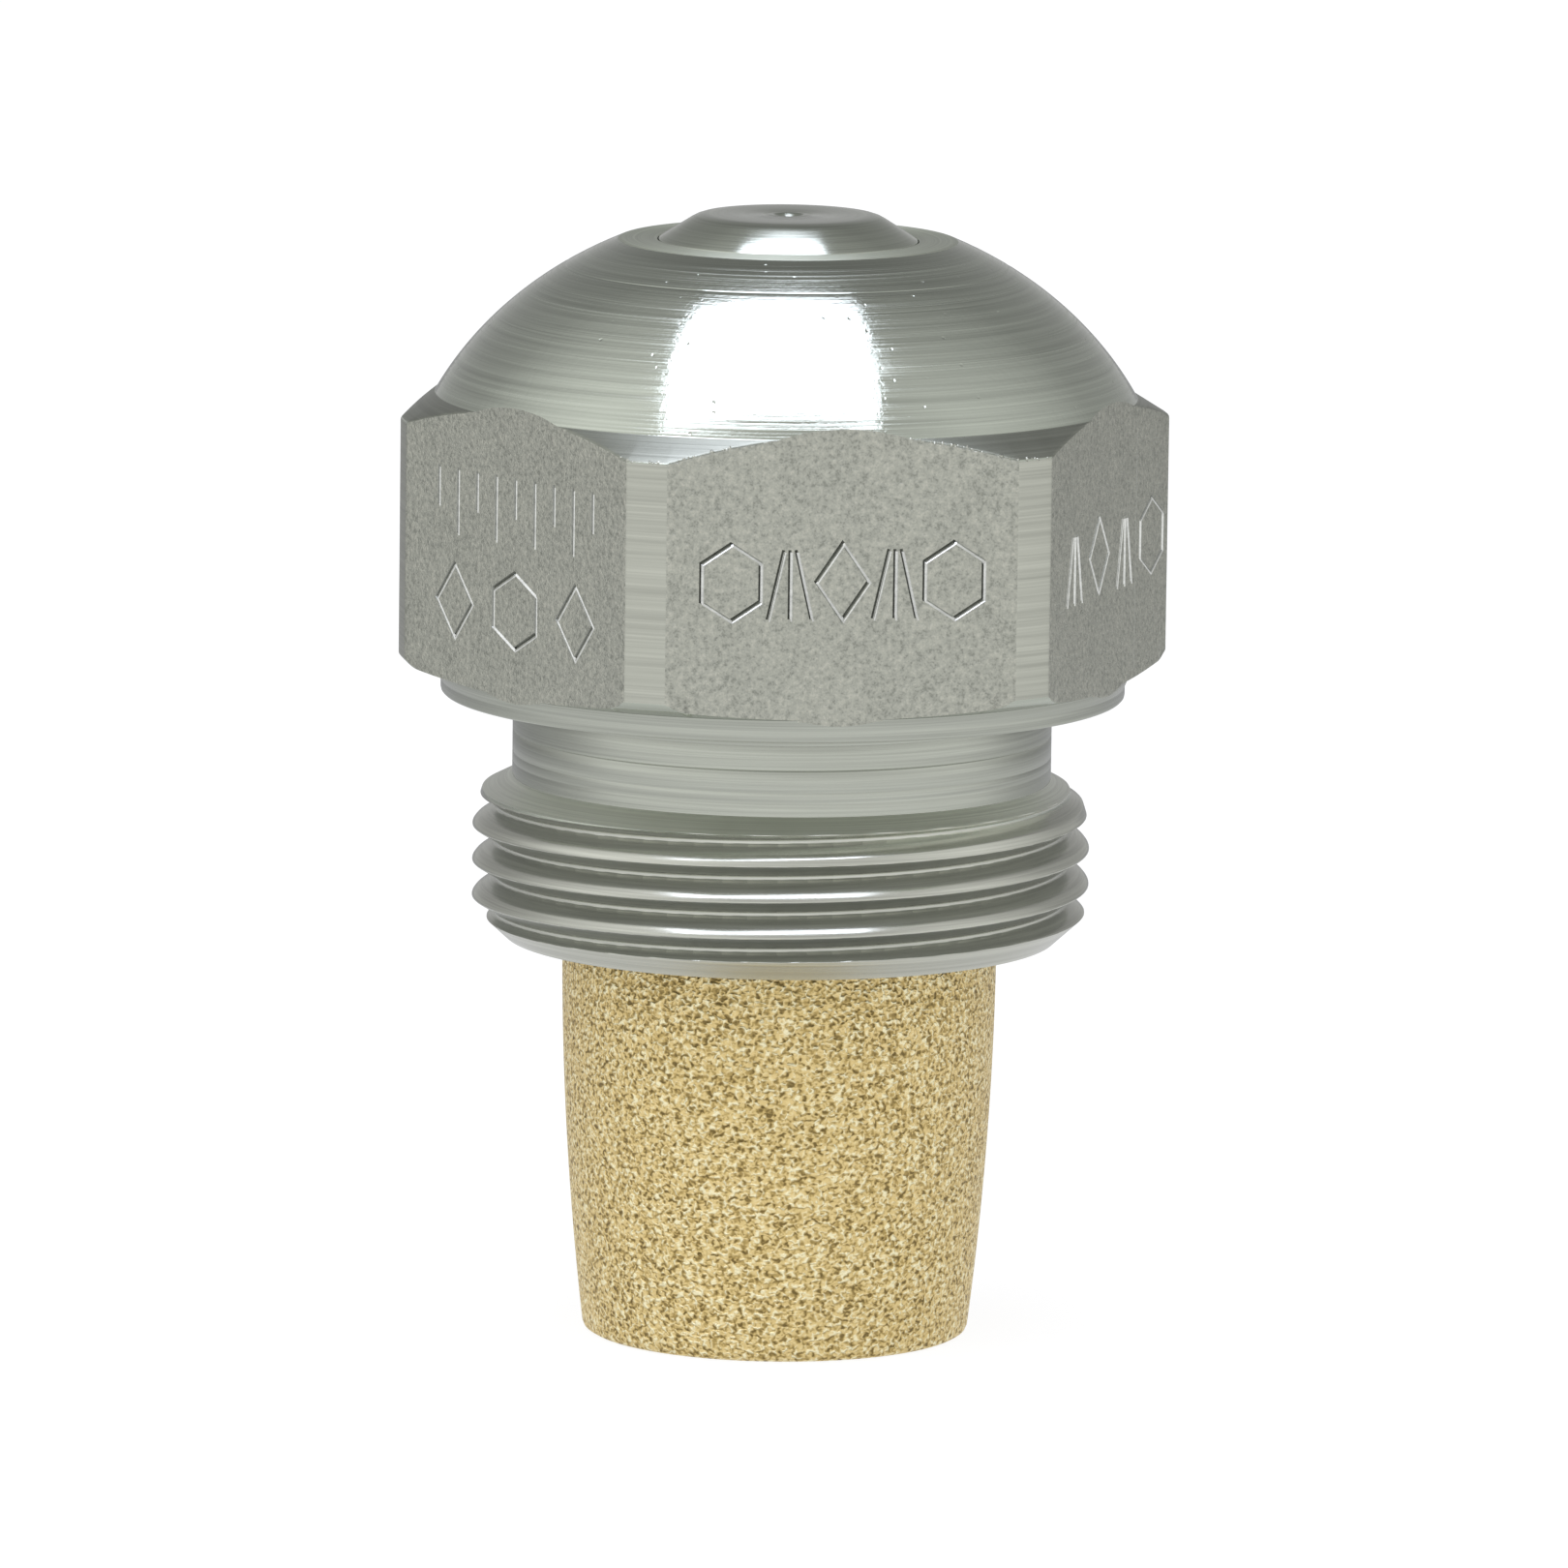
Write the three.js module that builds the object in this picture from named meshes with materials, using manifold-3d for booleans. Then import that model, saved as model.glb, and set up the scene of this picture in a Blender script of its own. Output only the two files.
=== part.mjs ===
// Oil burner nozzle: a simplex pressure-swirl nozzle with a sintered filter.
// Millimetres, +Z up. The closed end of the filter stands on z = 0 and the nozzle sprays along +Z.
// A hex flat faces -Y.

import * as THREE from 'three';
import { mergeVertices } from 'three/addons/utils/BufferGeometryUtils.js';
import Module from 'manifold-3d';

const wasm = await Module();
wasm.setup();

// ---------------------------------------------------------------- driving sizes

const HEIGHT = 26.0;                  // filter's closed end to the tip of the orifice disc
const ACROSS_FLATS = 15.875;          // 5/8 in wrench size
const CORNER_RADIUS = 8.9;            // the hex corners are turned down to this radius
const THREAD_RADIUS = 14.26 / 2;      // outside of the mounting thread
const THREAD_PITCH = 0.83;
const LOCK_PITCH = 0.75;              // pitch of the lock screw inside the body
const RUNNING_GAP = 0.05;             // radial clearance of the pieces that turn or slide

// heights of the body's features
const REAR_FACE = 9.25;
const THREAD_TOP = 12.62;
const NECK_BOTTOM = 12.97;
const COLLAR_BOTTOM = 14.91;
const HEX_BOTTOM = 15.54;
const CORNER_TOP = 21.33;
const NOSE_LAND = 25.42;              // flat ring around the orifice disc

// radii of the body's outside
const REAR_FACE_RADIUS = 6.38;
const NECK_RADIUS = 6.22;
const COLLAR_RADIUS = 7.98;
const DOME = { height: 18.43, across: 9.0, up: 7.74, edgeRadius: 8.08 };

// the bores inside the body, from the rear to the nose
const FILTER_BORE = { radius: 5.35, top: 12.5 };
const LOCK_BORE = { radius: 4.65, top: 20.0 };
const DISC_BORE = { radius: 4.25, top: 24.3 };
const NOSE_BORE = { radius: 3.0 };

const ROUND = 60;                     // facets round the body and the filter, a whole number per hex side
const SMALL_ROUND = 48;               // facets round the pieces inside

// ---------------------------------------------------------------- shared tools

function toSolid(geometry) {
  const bare = new THREE.BufferGeometry();
  bare.setAttribute('position', geometry.getAttribute('position'));
  bare.setIndex(geometry.getIndex());
  const welded = mergeVertices(bare, 1e-4);
  return new wasm.Manifold(new wasm.Mesh({
    numProp: 3,
    vertProperties: Float32Array.from(welded.getAttribute('position').array),
    triVerts: Uint32Array.from(welded.getIndex().array),
  }));
}

function toGeometry(solid) {
  const mesh = solid.getMesh();
  const geometry = new THREE.BufferGeometry();
  geometry.setAttribute('position', new THREE.BufferAttribute(mesh.vertProperties, 3));
  geometry.setIndex(new THREE.BufferAttribute(mesh.triVerts, 1));
  const faceted = geometry.toNonIndexed();
  faceted.computeVertexNormals();
  return faceted;
}

// A solid of revolution about Z from [radius, height] points that run anticlockwise.
function turned(profile, facets) {
  const points = profile.map(([radius, height]) => new THREE.Vector2(radius, height));
  const geometry = new THREE.LatheGeometry(points, facets);
  geometry.rotateX(Math.PI / 2);
  return toSolid(geometry);
}

// Points of a circular or elliptical arc, angles in degrees from the radial direction.
function arc(centre, across, up, from, to, steps) {
  const points = [];
  for (let i = 0; i <= steps; i++) {
    const angle = THREE.MathUtils.degToRad(from + (to - from) * i / steps);
    points.push([centre[0] + across * Math.cos(angle), centre[1] + up * Math.sin(angle)]);
  }
  return points;
}

function piece(name, solid, colour, roughness, metalness) {
  const material = new THREE.MeshStandardMaterial({ color: colour, roughness, metalness });
  material.name = `${name}_material`;
  const mesh = new THREE.Mesh(toGeometry(solid), material);
  mesh.name = name;
  return mesh;
}

// ---------------------------------------------------------------- nozzle body

// A right-handed helix whose frames keep their normals radial, for the thread groove.
class Helix extends THREE.Curve {
  constructor(radius, pitch, start, turns) {
    super();
    Object.assign(this, { radius, pitch, start, turns });
  }

  angle(t) {
    return 2 * Math.PI * this.turns * t;
  }

  getPoint(t, target = new THREE.Vector3()) {
    const angle = this.angle(t);
    return target.set(
      this.radius * Math.cos(angle),
      this.radius * Math.sin(angle),
      this.start + this.pitch * this.turns * t,
    );
  }

  getSpacedPoints(divisions) {
    return this.getPoints(divisions);
  }

  computeFrenetFrames(segments) {
    const frames = { tangents: [], normals: [], binormals: [] };
    for (let i = 0; i <= segments; i++) {
      const angle = this.angle(i / segments);
      frames.tangents.push(new THREE.Vector3(-Math.sin(angle), Math.cos(angle), 0));
      frames.normals.push(new THREE.Vector3(Math.cos(angle), Math.sin(angle), 0));
      frames.binormals.push(new THREE.Vector3(0, 0, -1));
    }
    return frames;
  }
}

// The 60 degree groove between two crests, with flats an eighth of the pitch wide at the crests.
function threadGroove() {
  const slope = Math.tan(Math.PI / 6);
  const crestFlat = THREAD_PITCH / 8;
  const depth = 0.613 * THREAD_PITCH;
  const outerHalf = (THREAD_PITCH - crestFlat) / 2;
  const rootHalf = outerHalf - depth * slope;
  const clear = 0.06;                 // the cutter stands this far outside the blank
  const groove = new THREE.Shape([
    new THREE.Vector2(-depth, -rootHalf),
    new THREE.Vector2(clear, -outerHalf - clear * slope),
    new THREE.Vector2(clear, outerHalf + clear * slope),
    new THREE.Vector2(-depth, rootHalf),
  ]);
  const turns = 6;
  const crestAtPlusX = 11.37;         // a crest crosses the +X side at this height
  const start = crestAtPlusX + THREAD_PITCH / 2 - 4 * THREAD_PITCH;
  const path = new Helix(THREAD_RADIUS, THREAD_PITCH, start, turns);
  const geometry = new THREE.ExtrudeGeometry(groove, { steps: turns * ROUND / 2, extrudePath: path });
  return toSolid(geometry);
}

// Everything that the hex and the collar keep lies inside this prism.
function hexPrism() {
  const corner = ACROSS_FLATS / 2 / Math.cos(Math.PI / 6);
  const corners = [];
  for (let i = 0; i < 6; i++) {
    const angle = i * Math.PI / 3;
    corners.push(new THREE.Vector2(corner * Math.cos(angle), corner * Math.sin(angle)));
  }
  const geometry = new THREE.ExtrudeGeometry(new THREE.Shape(corners), {
    depth: HEIGHT,
    bevelEnabled: false,
  });
  return toSolid(geometry);
}

function nozzleBody() {
  const fromAxis = (height) => Math.sqrt(1 - ((height - DOME.height) / DOME.up) ** 2);
  const domeStart = THREE.MathUtils.radToDeg(Math.acos(DOME.edgeRadius / DOME.across));
  const domeEnd = THREE.MathUtils.radToDeg(Math.acos(fromAxis(NOSE_LAND)));
  const outside = [
    [FILTER_BORE.radius, REAR_FACE],
    [REAR_FACE_RADIUS, REAR_FACE],
    [THREAD_RADIUS, REAR_FACE + 0.68],
    [THREAD_RADIUS, THREAD_TOP - 0.7],
    [THREAD_RADIUS - 0.22, THREAD_TOP],
    [NECK_RADIUS, NECK_BOTTOM],
    [NECK_RADIUS, COLLAR_BOTTOM],
    [COLLAR_RADIUS - 0.08, COLLAR_BOTTOM],
    [COLLAR_RADIUS, COLLAR_BOTTOM + 0.08],
    [COLLAR_RADIUS, HEX_BOTTOM],
    [CORNER_RADIUS - 0.3, HEX_BOTTOM],
    [CORNER_RADIUS, HEX_BOTTOM + 0.3],
    [CORNER_RADIUS, CORNER_TOP],
    ...arc([0, DOME.height], DOME.across, DOME.up, domeStart, domeEnd, 10),
  ];
  const inside = [
    [NOSE_BORE.radius, NOSE_LAND],
    [NOSE_BORE.radius, DISC_BORE.top],
    [DISC_BORE.radius, DISC_BORE.top],
    [DISC_BORE.radius, LOCK_BORE.top],
    [LOCK_BORE.radius, LOCK_BORE.top],
    [LOCK_BORE.radius, FILTER_BORE.top],
    [FILTER_BORE.radius, FILTER_BORE.top],
    [FILTER_BORE.radius, REAR_FACE],
  ];
  const blank = turned([...outside, ...inside], ROUND);
  return piece('nozzle_body', blank.intersect(hexPrism()).subtract(threadGroove()), 0x8f8d85, 0.34, 1.0);
}

// ---------------------------------------------------------------- orifice disc

const SEAT = { radius: 3.05, bottom: 22.9, tipRadius: 0.35, tip: 25.0 };

function orificeDisc() {
  const noseRadius = NOSE_BORE.radius - RUNNING_GAP;
  const plateau = 1.75;
  const edge = 0.18;                  // rounding between the cone and the plateau
  const profile = [
    [SEAT.radius, SEAT.bottom],
    [DISC_BORE.radius - RUNNING_GAP, SEAT.bottom],
    [DISC_BORE.radius - RUNNING_GAP, DISC_BORE.top - RUNNING_GAP],
    [noseRadius, DISC_BORE.top - RUNNING_GAP],
    [noseRadius, NOSE_LAND],
    ...arc([plateau, HEIGHT - edge], edge * 1.4, edge, 35, 90, 3),
    [0.32, HEIGHT],
    [0.12, HEIGHT - 0.16],
    [0.12, HEIGHT - 0.55],
    [SEAT.tipRadius, HEIGHT - 0.55],
    [SEAT.tipRadius, SEAT.tip],
    [SEAT.radius, SEAT.bottom],
  ];
  return piece('orifice_disc', turned(profile, SMALL_ROUND), 0xa19f96, 0.3, 1.0);
}

// ---------------------------------------------------------------- swirl distributor

const DISTRIBUTOR = { radius: 3.6, bottom: 19.45, shoulder: 22.3 };

// One slot along the cone, off the axis so that the oil starts to spin.
function swirlSlot(turn) {
  const rise = SEAT.tip - SEAT.bottom;
  const run = SEAT.radius - SEAT.tipRadius;
  const slot = new THREE.BoxGeometry(5.0, 0.35, 0.5);
  slot.rotateY(Math.atan2(rise, run));
  slot.translate(1.9, 0.55, SEAT.bottom + rise * 0.43);
  slot.rotateZ(turn);
  return toSolid(slot);
}

function swirlDistributor() {
  const slope = (SEAT.tip - SEAT.bottom) / (SEAT.radius - SEAT.tipRadius);
  const coneHeight = (radius) => SEAT.bottom + (SEAT.radius - radius) * slope - RUNNING_GAP;
  const profile = [
    [0, DISTRIBUTOR.bottom],
    [DISTRIBUTOR.radius, DISTRIBUTOR.bottom],
    [DISTRIBUTOR.radius, DISTRIBUTOR.shoulder],
    [SEAT.radius - 0.05, coneHeight(SEAT.radius - 0.05)],
    [0.6, coneHeight(0.6)],
    [0, coneHeight(0.6)],
  ];
  let solid = turned(profile, SMALL_ROUND);
  for (let i = 0; i < 4; i++) {
    solid = solid.subtract(swirlSlot(i * Math.PI / 2));
  }
  return piece('swirl_distributor', solid, 0xb8964c, 0.4, 1.0);
}

// ---------------------------------------------------------------- lock screw

const SHANK = { radius: 3.4, bottom: 9.8, boreRadius: 1.5 };
const LOCK_SCREW = { shoulder: 12.25, top: 18.2, noseRadius: 2.8 };

// Rings a pitch apart stand for the screw's fine thread.
function lockThread(radius) {
  const depth = 0.25;
  const half = LOCK_PITCH * 0.3;
  const points = [];
  for (let height = LOCK_SCREW.shoulder + 0.6; height < LOCK_SCREW.top - 0.3; height += LOCK_PITCH) {
    points.push([radius, height - half], [radius - depth, height], [radius, height + half]);
  }
  return points;
}

function lockScrew() {
  const radius = LOCK_BORE.radius - RUNNING_GAP;
  const boreTop = DISTRIBUTOR.bottom - 0.5;
  const profile = [
    [0, boreTop],
    [SHANK.boreRadius, boreTop],
    [SHANK.boreRadius, SHANK.bottom],
    [SHANK.radius - 0.15, SHANK.bottom],
    [SHANK.radius, SHANK.bottom + 0.15],
    [SHANK.radius, LOCK_SCREW.shoulder],
    [radius, LOCK_SCREW.shoulder],
    ...lockThread(radius),
    [radius, LOCK_SCREW.top],
    [LOCK_SCREW.noseRadius, LOCK_SCREW.top],
    [LOCK_SCREW.noseRadius, DISTRIBUTOR.bottom],
    [0, DISTRIBUTOR.bottom],
  ];
  let solid = turned(profile, SMALL_ROUND);
  const driverSlot = new THREE.BoxGeometry(2 * SHANK.radius + 1, 1.0, 2.0);
  driverSlot.translate(0, 0, SHANK.bottom);
  solid = solid.subtract(toSolid(driverSlot));
  for (let i = 0; i < 2; i++) {
    const hole = new THREE.CylinderGeometry(0.4, 0.4, 2 * LOCK_SCREW.noseRadius + 1, 16);
    hole.rotateZ(i * Math.PI / 2);
    hole.translate(0, 0, (LOCK_SCREW.top + boreTop) / 2);
    solid = solid.subtract(toSolid(hole));
  }
  return piece('lock_screw', solid, 0xb08d45, 0.38, 1.0);
}

// ---------------------------------------------------------------- sintered filter

// The wall is straight inside the body and draws in below it, a little faster towards the foot.
function filterRadius(height) {
  return 5.02 - 0.0067 * (REAR_FACE - height) ** 2;
}

function sinteredFilter() {
  const footEdge = 0.22;              // rounding round the closed end
  const mouth = LOCK_SCREW.shoulder;
  const cavity = { floor: 1.6, floorRadius: 3.0, top: 9.3, topRadius: 3.35 };
  const wall = [];
  for (let i = 0; i <= 6; i++) {
    const height = THREE.MathUtils.lerp(footEdge, REAR_FACE, i / 6);
    wall.push([filterRadius(height), height]);
  }
  const profile = [
    [0, 0],
    ...arc([filterRadius(footEdge) - footEdge, footEdge], footEdge, footEdge, -90, 0, 4).slice(0, -1),
    ...wall,
    [filterRadius(REAR_FACE), mouth],
    [SHANK.radius + RUNNING_GAP, mouth],
    [SHANK.radius + RUNNING_GAP, cavity.top],
    [cavity.topRadius, cavity.top - 0.1],
    [cavity.floorRadius, cavity.floor],
    [0, cavity.floor],
  ];
  return piece('sintered_filter', turned(profile, ROUND), 0xcbb488, 0.75, 0.85);
}

// ---------------------------------------------------------------- assembly

const group = new THREE.Group();
group.name = 'oil_burner_nozzle';
group.add(nozzleBody(), orificeDisc(), swirlDistributor(), lockScrew(), sinteredFilter());

export default group;
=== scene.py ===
"""Oil burner nozzle: the detailed model, its materials, and a plain studio to show it in.

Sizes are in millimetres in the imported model's frame and become metres where a mesh is made.
Angles round the nozzle are measured from +X, and a hex flat faces -Y.
"""

import math
import random

import bmesh
import bpy
import numpy as np
from mathutils import Matrix, Vector


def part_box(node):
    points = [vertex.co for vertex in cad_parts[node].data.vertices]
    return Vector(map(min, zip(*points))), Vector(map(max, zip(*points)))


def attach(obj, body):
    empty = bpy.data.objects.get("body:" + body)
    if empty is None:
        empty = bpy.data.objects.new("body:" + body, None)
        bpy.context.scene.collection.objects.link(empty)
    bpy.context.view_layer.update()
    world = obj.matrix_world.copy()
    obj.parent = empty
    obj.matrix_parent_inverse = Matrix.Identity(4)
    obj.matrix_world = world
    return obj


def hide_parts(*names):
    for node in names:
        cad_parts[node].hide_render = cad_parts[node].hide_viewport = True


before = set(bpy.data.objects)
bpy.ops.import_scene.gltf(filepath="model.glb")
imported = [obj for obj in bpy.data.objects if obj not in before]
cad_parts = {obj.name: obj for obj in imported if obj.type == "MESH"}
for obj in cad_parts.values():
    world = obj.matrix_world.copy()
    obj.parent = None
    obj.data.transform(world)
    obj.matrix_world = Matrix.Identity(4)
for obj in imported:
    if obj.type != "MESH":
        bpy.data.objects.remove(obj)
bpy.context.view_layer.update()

MM = 0.001
WELD = 0.0008  # points closer than this are joined

# ---------------------------------------------------------------- sizes

body_low, body_high = (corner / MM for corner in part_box("nozzle_body"))
disc_low, disc_high = (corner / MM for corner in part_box("orifice_disc"))
swirl_low, swirl_high = (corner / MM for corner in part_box("swirl_distributor"))
screw_low, screw_high = (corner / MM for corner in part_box("lock_screw"))
_, filter_high = (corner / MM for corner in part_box("sintered_filter"))

REAR_FACE = body_low.z
NOSE_LAND = body_high.z
CORNER_RADIUS = body_high.x  # of the turned corners between the flats
APOTHEM = body_high.y  # axis to a hex flat
HEX_EDGE = math.degrees(math.acos(APOTHEM / CORNER_RADIUS))  # from a flat's normal to its corner strip
TOP = disc_high.z

THREAD_RADIUS = 7.13
THREAD_PITCH = 0.83
THREAD_CREST = 11.41  # level of one crest, at +X
THREAD_TOP = 12.62
REAR_FACE_RADIUS = 6.38
REAR_CHAMFER = REAR_FACE + 0.3  # where the thread's groove starts on the rear chamfer
NECK_RADIUS = 6.22
NECK_BOTTOM = 12.97
COLLAR_RADIUS = 7.98
COLLAR_BAND = 7.89  # the turned band below the cone that the flats run out on
COLLAR_BOTTOM = 14.91
COLLAR_CONE = (15.2, 15.42)  # bottom and top of that cone
HEX_BOTTOM = 15.46
HEX_INSIDE = 7.7  # every face of the hex is outside this radius
UNDERSIDE_RADIUS = CORNER_RADIUS - 0.18  # where the hex's sloping underside ends
UNDERSIDE_SLOPE = 0.28
CORNER_TOP = 21.33
DOME_HEIGHT = 18.43  # level of the dome ellipse's centre
DOME_ACROSS = 9.0
DOME_UP = 7.74
DOME_EDGE = 8.08  # radius where the dome meets the ledges at the corners
TOOL_LINE = 5.11  # radius of the line round the dome where the lathe tool paused

FILTER_BORE = (5.35, 12.5)  # radius and top of each bore inside the body
LOCK_BORE = (4.65, 20.0)
DISC_BORE = (4.25, 24.3)
NOSE_BORE = 3.0

FRONT_FLAT, LEFT_FLAT, RIGHT_FLAT = (math.radians(degrees) for degrees in (-90, -150, -30))

# The body's material slots, in the order of steel_materials. The slot for the darker steel paints shade:
# it goes in the grooves of the stamped marks and on the thread's downward-facing lower flanks.
TURNED, BLASTED, STRIP, THREAD, LAND, LEDGE, PAINTED_SHADE, RUN_IN, NECK = range(9)


def dome_level(radius):
    return DOME_HEIGHT + DOME_UP * math.sqrt(1 - (radius / DOME_ACROSS) ** 2)


LAND_EDGE = DOME_ACROSS * math.sqrt(1 - ((NOSE_LAND - DOME_HEIGHT) / DOME_UP) ** 2)
LEDGE_SLOPE = (dome_level(DOME_EDGE) - CORNER_TOP) / (CORNER_RADIUS - DOME_EDGE)


def hex_top(reach):
    """Level of the hex's top edge where the hex reaches this far: on the dome or on a ledge."""
    if reach < DOME_EDGE:
        return dome_level(reach)
    return CORNER_TOP + (CORNER_RADIUS - reach) * LEDGE_SLOPE


# ---------------------------------------------------------------- mesh tools


def add_object(name, data):
    added = bpy.data.objects.new(name, data)
    bpy.context.scene.collection.objects.link(added)
    return added


def finished(name, made):
    """The object made of a bmesh, which is used up."""
    mesh = bpy.data.meshes.new(name)
    made.to_mesh(mesh)
    made.free()
    return add_object(name, mesh)


def eased(keys, steps=3):
    """[radius, height, rounding] keys of a closed outline as points, each rounded corner a short curve.

    The number of points depends only on which keys are rounded, never on where they are."""
    points = []
    for i, (radius, height, rounding) in enumerate(keys):
        here = np.array([radius, height])
        if rounding == 0:
            points.append(here)
            continue
        before = np.array(keys[i - 1][:2]) - here
        after = np.array(keys[(i + 1) % len(keys)][:2]) - here
        length_before, length_after = np.hypot(*before), np.hypot(*after)
        if min(length_before, length_after) < 1e-6:
            points += [here] * (steps + 1)
            continue
        start = before / length_before * min(rounding, 0.45 * length_before)
        end = after / length_after * min(rounding, 0.45 * length_after)
        for step in range(steps + 1):
            t = step / steps
            points.append(here + start * (1 - t) ** 2 + end * t**2)
    return points


def ring_mesh(name, outlines, angles):
    """A closed mesh from one closed outline of [radius, height] points at each angle."""
    outlines = np.array(outlines)
    angles = np.array(angles)[:, None]
    rows, columns = outlines.shape[1], len(angles)
    corners = np.stack(
        [
            outlines[:, :, 0] * np.cos(angles),
            outlines[:, :, 0] * np.sin(angles),
            outlines[:, :, 1],
        ],
        axis=2,
    ).reshape(-1, 3)
    column, row = np.meshgrid(np.arange(columns), np.arange(rows), indexing="ij")
    next_column, next_row = (column + 1) % columns, (row + 1) % rows
    faces = np.stack(
        [
            column * rows + row,
            next_column * rows + row,
            next_column * rows + next_row,
            column * rows + next_row,
        ],
        axis=2,
    ).reshape(-1, 4)
    mesh = bpy.data.meshes.new(name)
    mesh.from_pydata((corners * MM).tolist(), [], faces.tolist())
    made = bmesh.new()
    made.from_mesh(mesh)
    bmesh.ops.remove_doubles(made, verts=made.verts, dist=WELD * MM)
    bmesh.ops.recalc_face_normals(made, faces=made.faces)
    made.to_mesh(mesh)
    made.free()
    return add_object(name, mesh)


def turned_mesh(name, keys, columns=192):
    """A turned piece: the same outline at every angle. Keys on the axis close it."""
    outline = eased(keys)
    angles = np.linspace(0, 2 * math.pi, columns, endpoint=False)
    return ring_mesh(name, [outline] * columns, angles)


def smooth(piece, sharp_degrees=28):
    piece.data.shade_smooth()
    piece.data.set_sharp_from_angle(angle=math.radians(sharp_degrees))


def set_material(piece, material):
    piece.data.materials.clear()
    piece.data.materials.append(material)


def box_mesh(name, size, matrix):
    """A closed box, used only to cut slots."""
    made = bmesh.new()
    bmesh.ops.create_cube(made, size=1.0)
    bmesh.ops.transform(made, matrix=matrix @ Matrix.Diagonal((*size, 1)), verts=made.verts)
    bmesh.ops.scale(made, vec=(MM, MM, MM), verts=made.verts)
    return finished(name, made)


def cut(piece, tool):
    """Takes the tool's shape out of the piece, and removes the tool."""
    modifier = piece.modifiers.new("cut", "BOOLEAN")
    modifier.operation = "DIFFERENCE"
    modifier.solver = "MANIFOLD"
    modifier.object = tool
    bpy.context.view_layer.update()
    evaluated = piece.evaluated_get(bpy.context.evaluated_depsgraph_get())
    mesh = bpy.data.meshes.new_from_object(evaluated)
    piece.modifiers.clear()
    piece.data = mesh
    bpy.data.objects.remove(tool)


def take_place(piece, node, body):
    """The piece stands for a CAD node and moves with its body."""
    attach(piece, body)
    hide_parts(node)


# ---------------------------------------------------------------- nozzle body


def flat_offset(angle):
    """Degrees from the nearest flat's normal, -30 to 30."""
    return math.degrees(angle) % 60 - 30


def smaller(a, b, rounding):
    """The smaller of two values, with a rounded change from one to the other."""
    return (a + b - np.hypot(a - b, rounding)) / 2


def hex_reach(angle):
    """How far out the hex goes at this angle: the flat or the turned corner, with an eased edge."""
    flat = APOTHEM / math.cos(math.radians(flat_offset(angle)))
    return smaller(flat, CORNER_RADIUS, rounding=0.012)


def body_angles():
    """Angles of the body's columns, closest together at the edges of the corner strips."""
    half = [*np.arange(1.0, HEX_EDGE - 0.7, 1.0)]
    half += [HEX_EDGE + step for step in (-0.5, -0.2, -0.06, 0.06, 0.2, 0.5, 1.3, 2.2)]
    sector = sorted([-30.0, 0.0, *half, *[-offset for offset in half]])
    return [math.radians(30 + 60 * side + offset) for side in range(6) for offset in sector]


def thread_blank(height):
    """Radius of the turned blank that the thread is cut in."""
    levels = [REAR_FACE, REAR_FACE + 0.68, THREAD_TOP - 0.7, THREAD_TOP, NECK_BOTTOM]
    radii = [REAR_FACE_RADIUS, THREAD_RADIUS, THREAD_RADIUS, THREAD_RADIUS - 0.22, NECK_RADIUS]
    return np.interp(height, levels, radii)


def thread_radius(angle, height):
    """Radius of the right-hand thread at this angle, for an array of heights.

    The crest has a worn facet on its upper side and a sharp lower edge."""
    flank_slope = 1 / math.tan(math.radians(30))
    facet_slope = math.tan(math.radians(38.5))
    crest_above, crest_below = 0.11, 0.04  # from the crest's level to each flank, at the full radius
    root = THREAD_RADIUS - 0.613 * THREAD_PITCH
    turns = (height - THREAD_CREST) / THREAD_PITCH - angle / (2 * math.pi)
    above_crest = THREAD_PITCH * (turns - np.round(turns))
    upper_flank = THREAD_RADIUS - (above_crest - crest_above) * flank_slope
    lower_flank = THREAD_RADIUS + (above_crest + crest_below) * flank_slope
    facet = THREAD_RADIUS + 0.02 - (above_crest - 0.01) * facet_slope
    upper_side = smaller(upper_flank, facet, rounding=0.05)
    crested = smaller(upper_side, THREAD_RADIUS + 0.01, rounding=0.04)
    edged = smaller(crested, lower_flank, rounding=0.015)
    threaded = -smaller(-edged, -root, rounding=0.03)
    return smaller(threaded, thread_blank(height), rounding=0.01)


def neck_lines():
    """Levels and depths of the shallow lines that the lathe tool left on the neck."""
    lines = []
    for height, depth in ((13.3, 0.005), (13.52, 0.007), (14.02, 0.014), (14.6, 0.006)):
        lines += [(height - 0.03, 0), (height, depth), (height + 0.02, 0)]
    return lines


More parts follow.
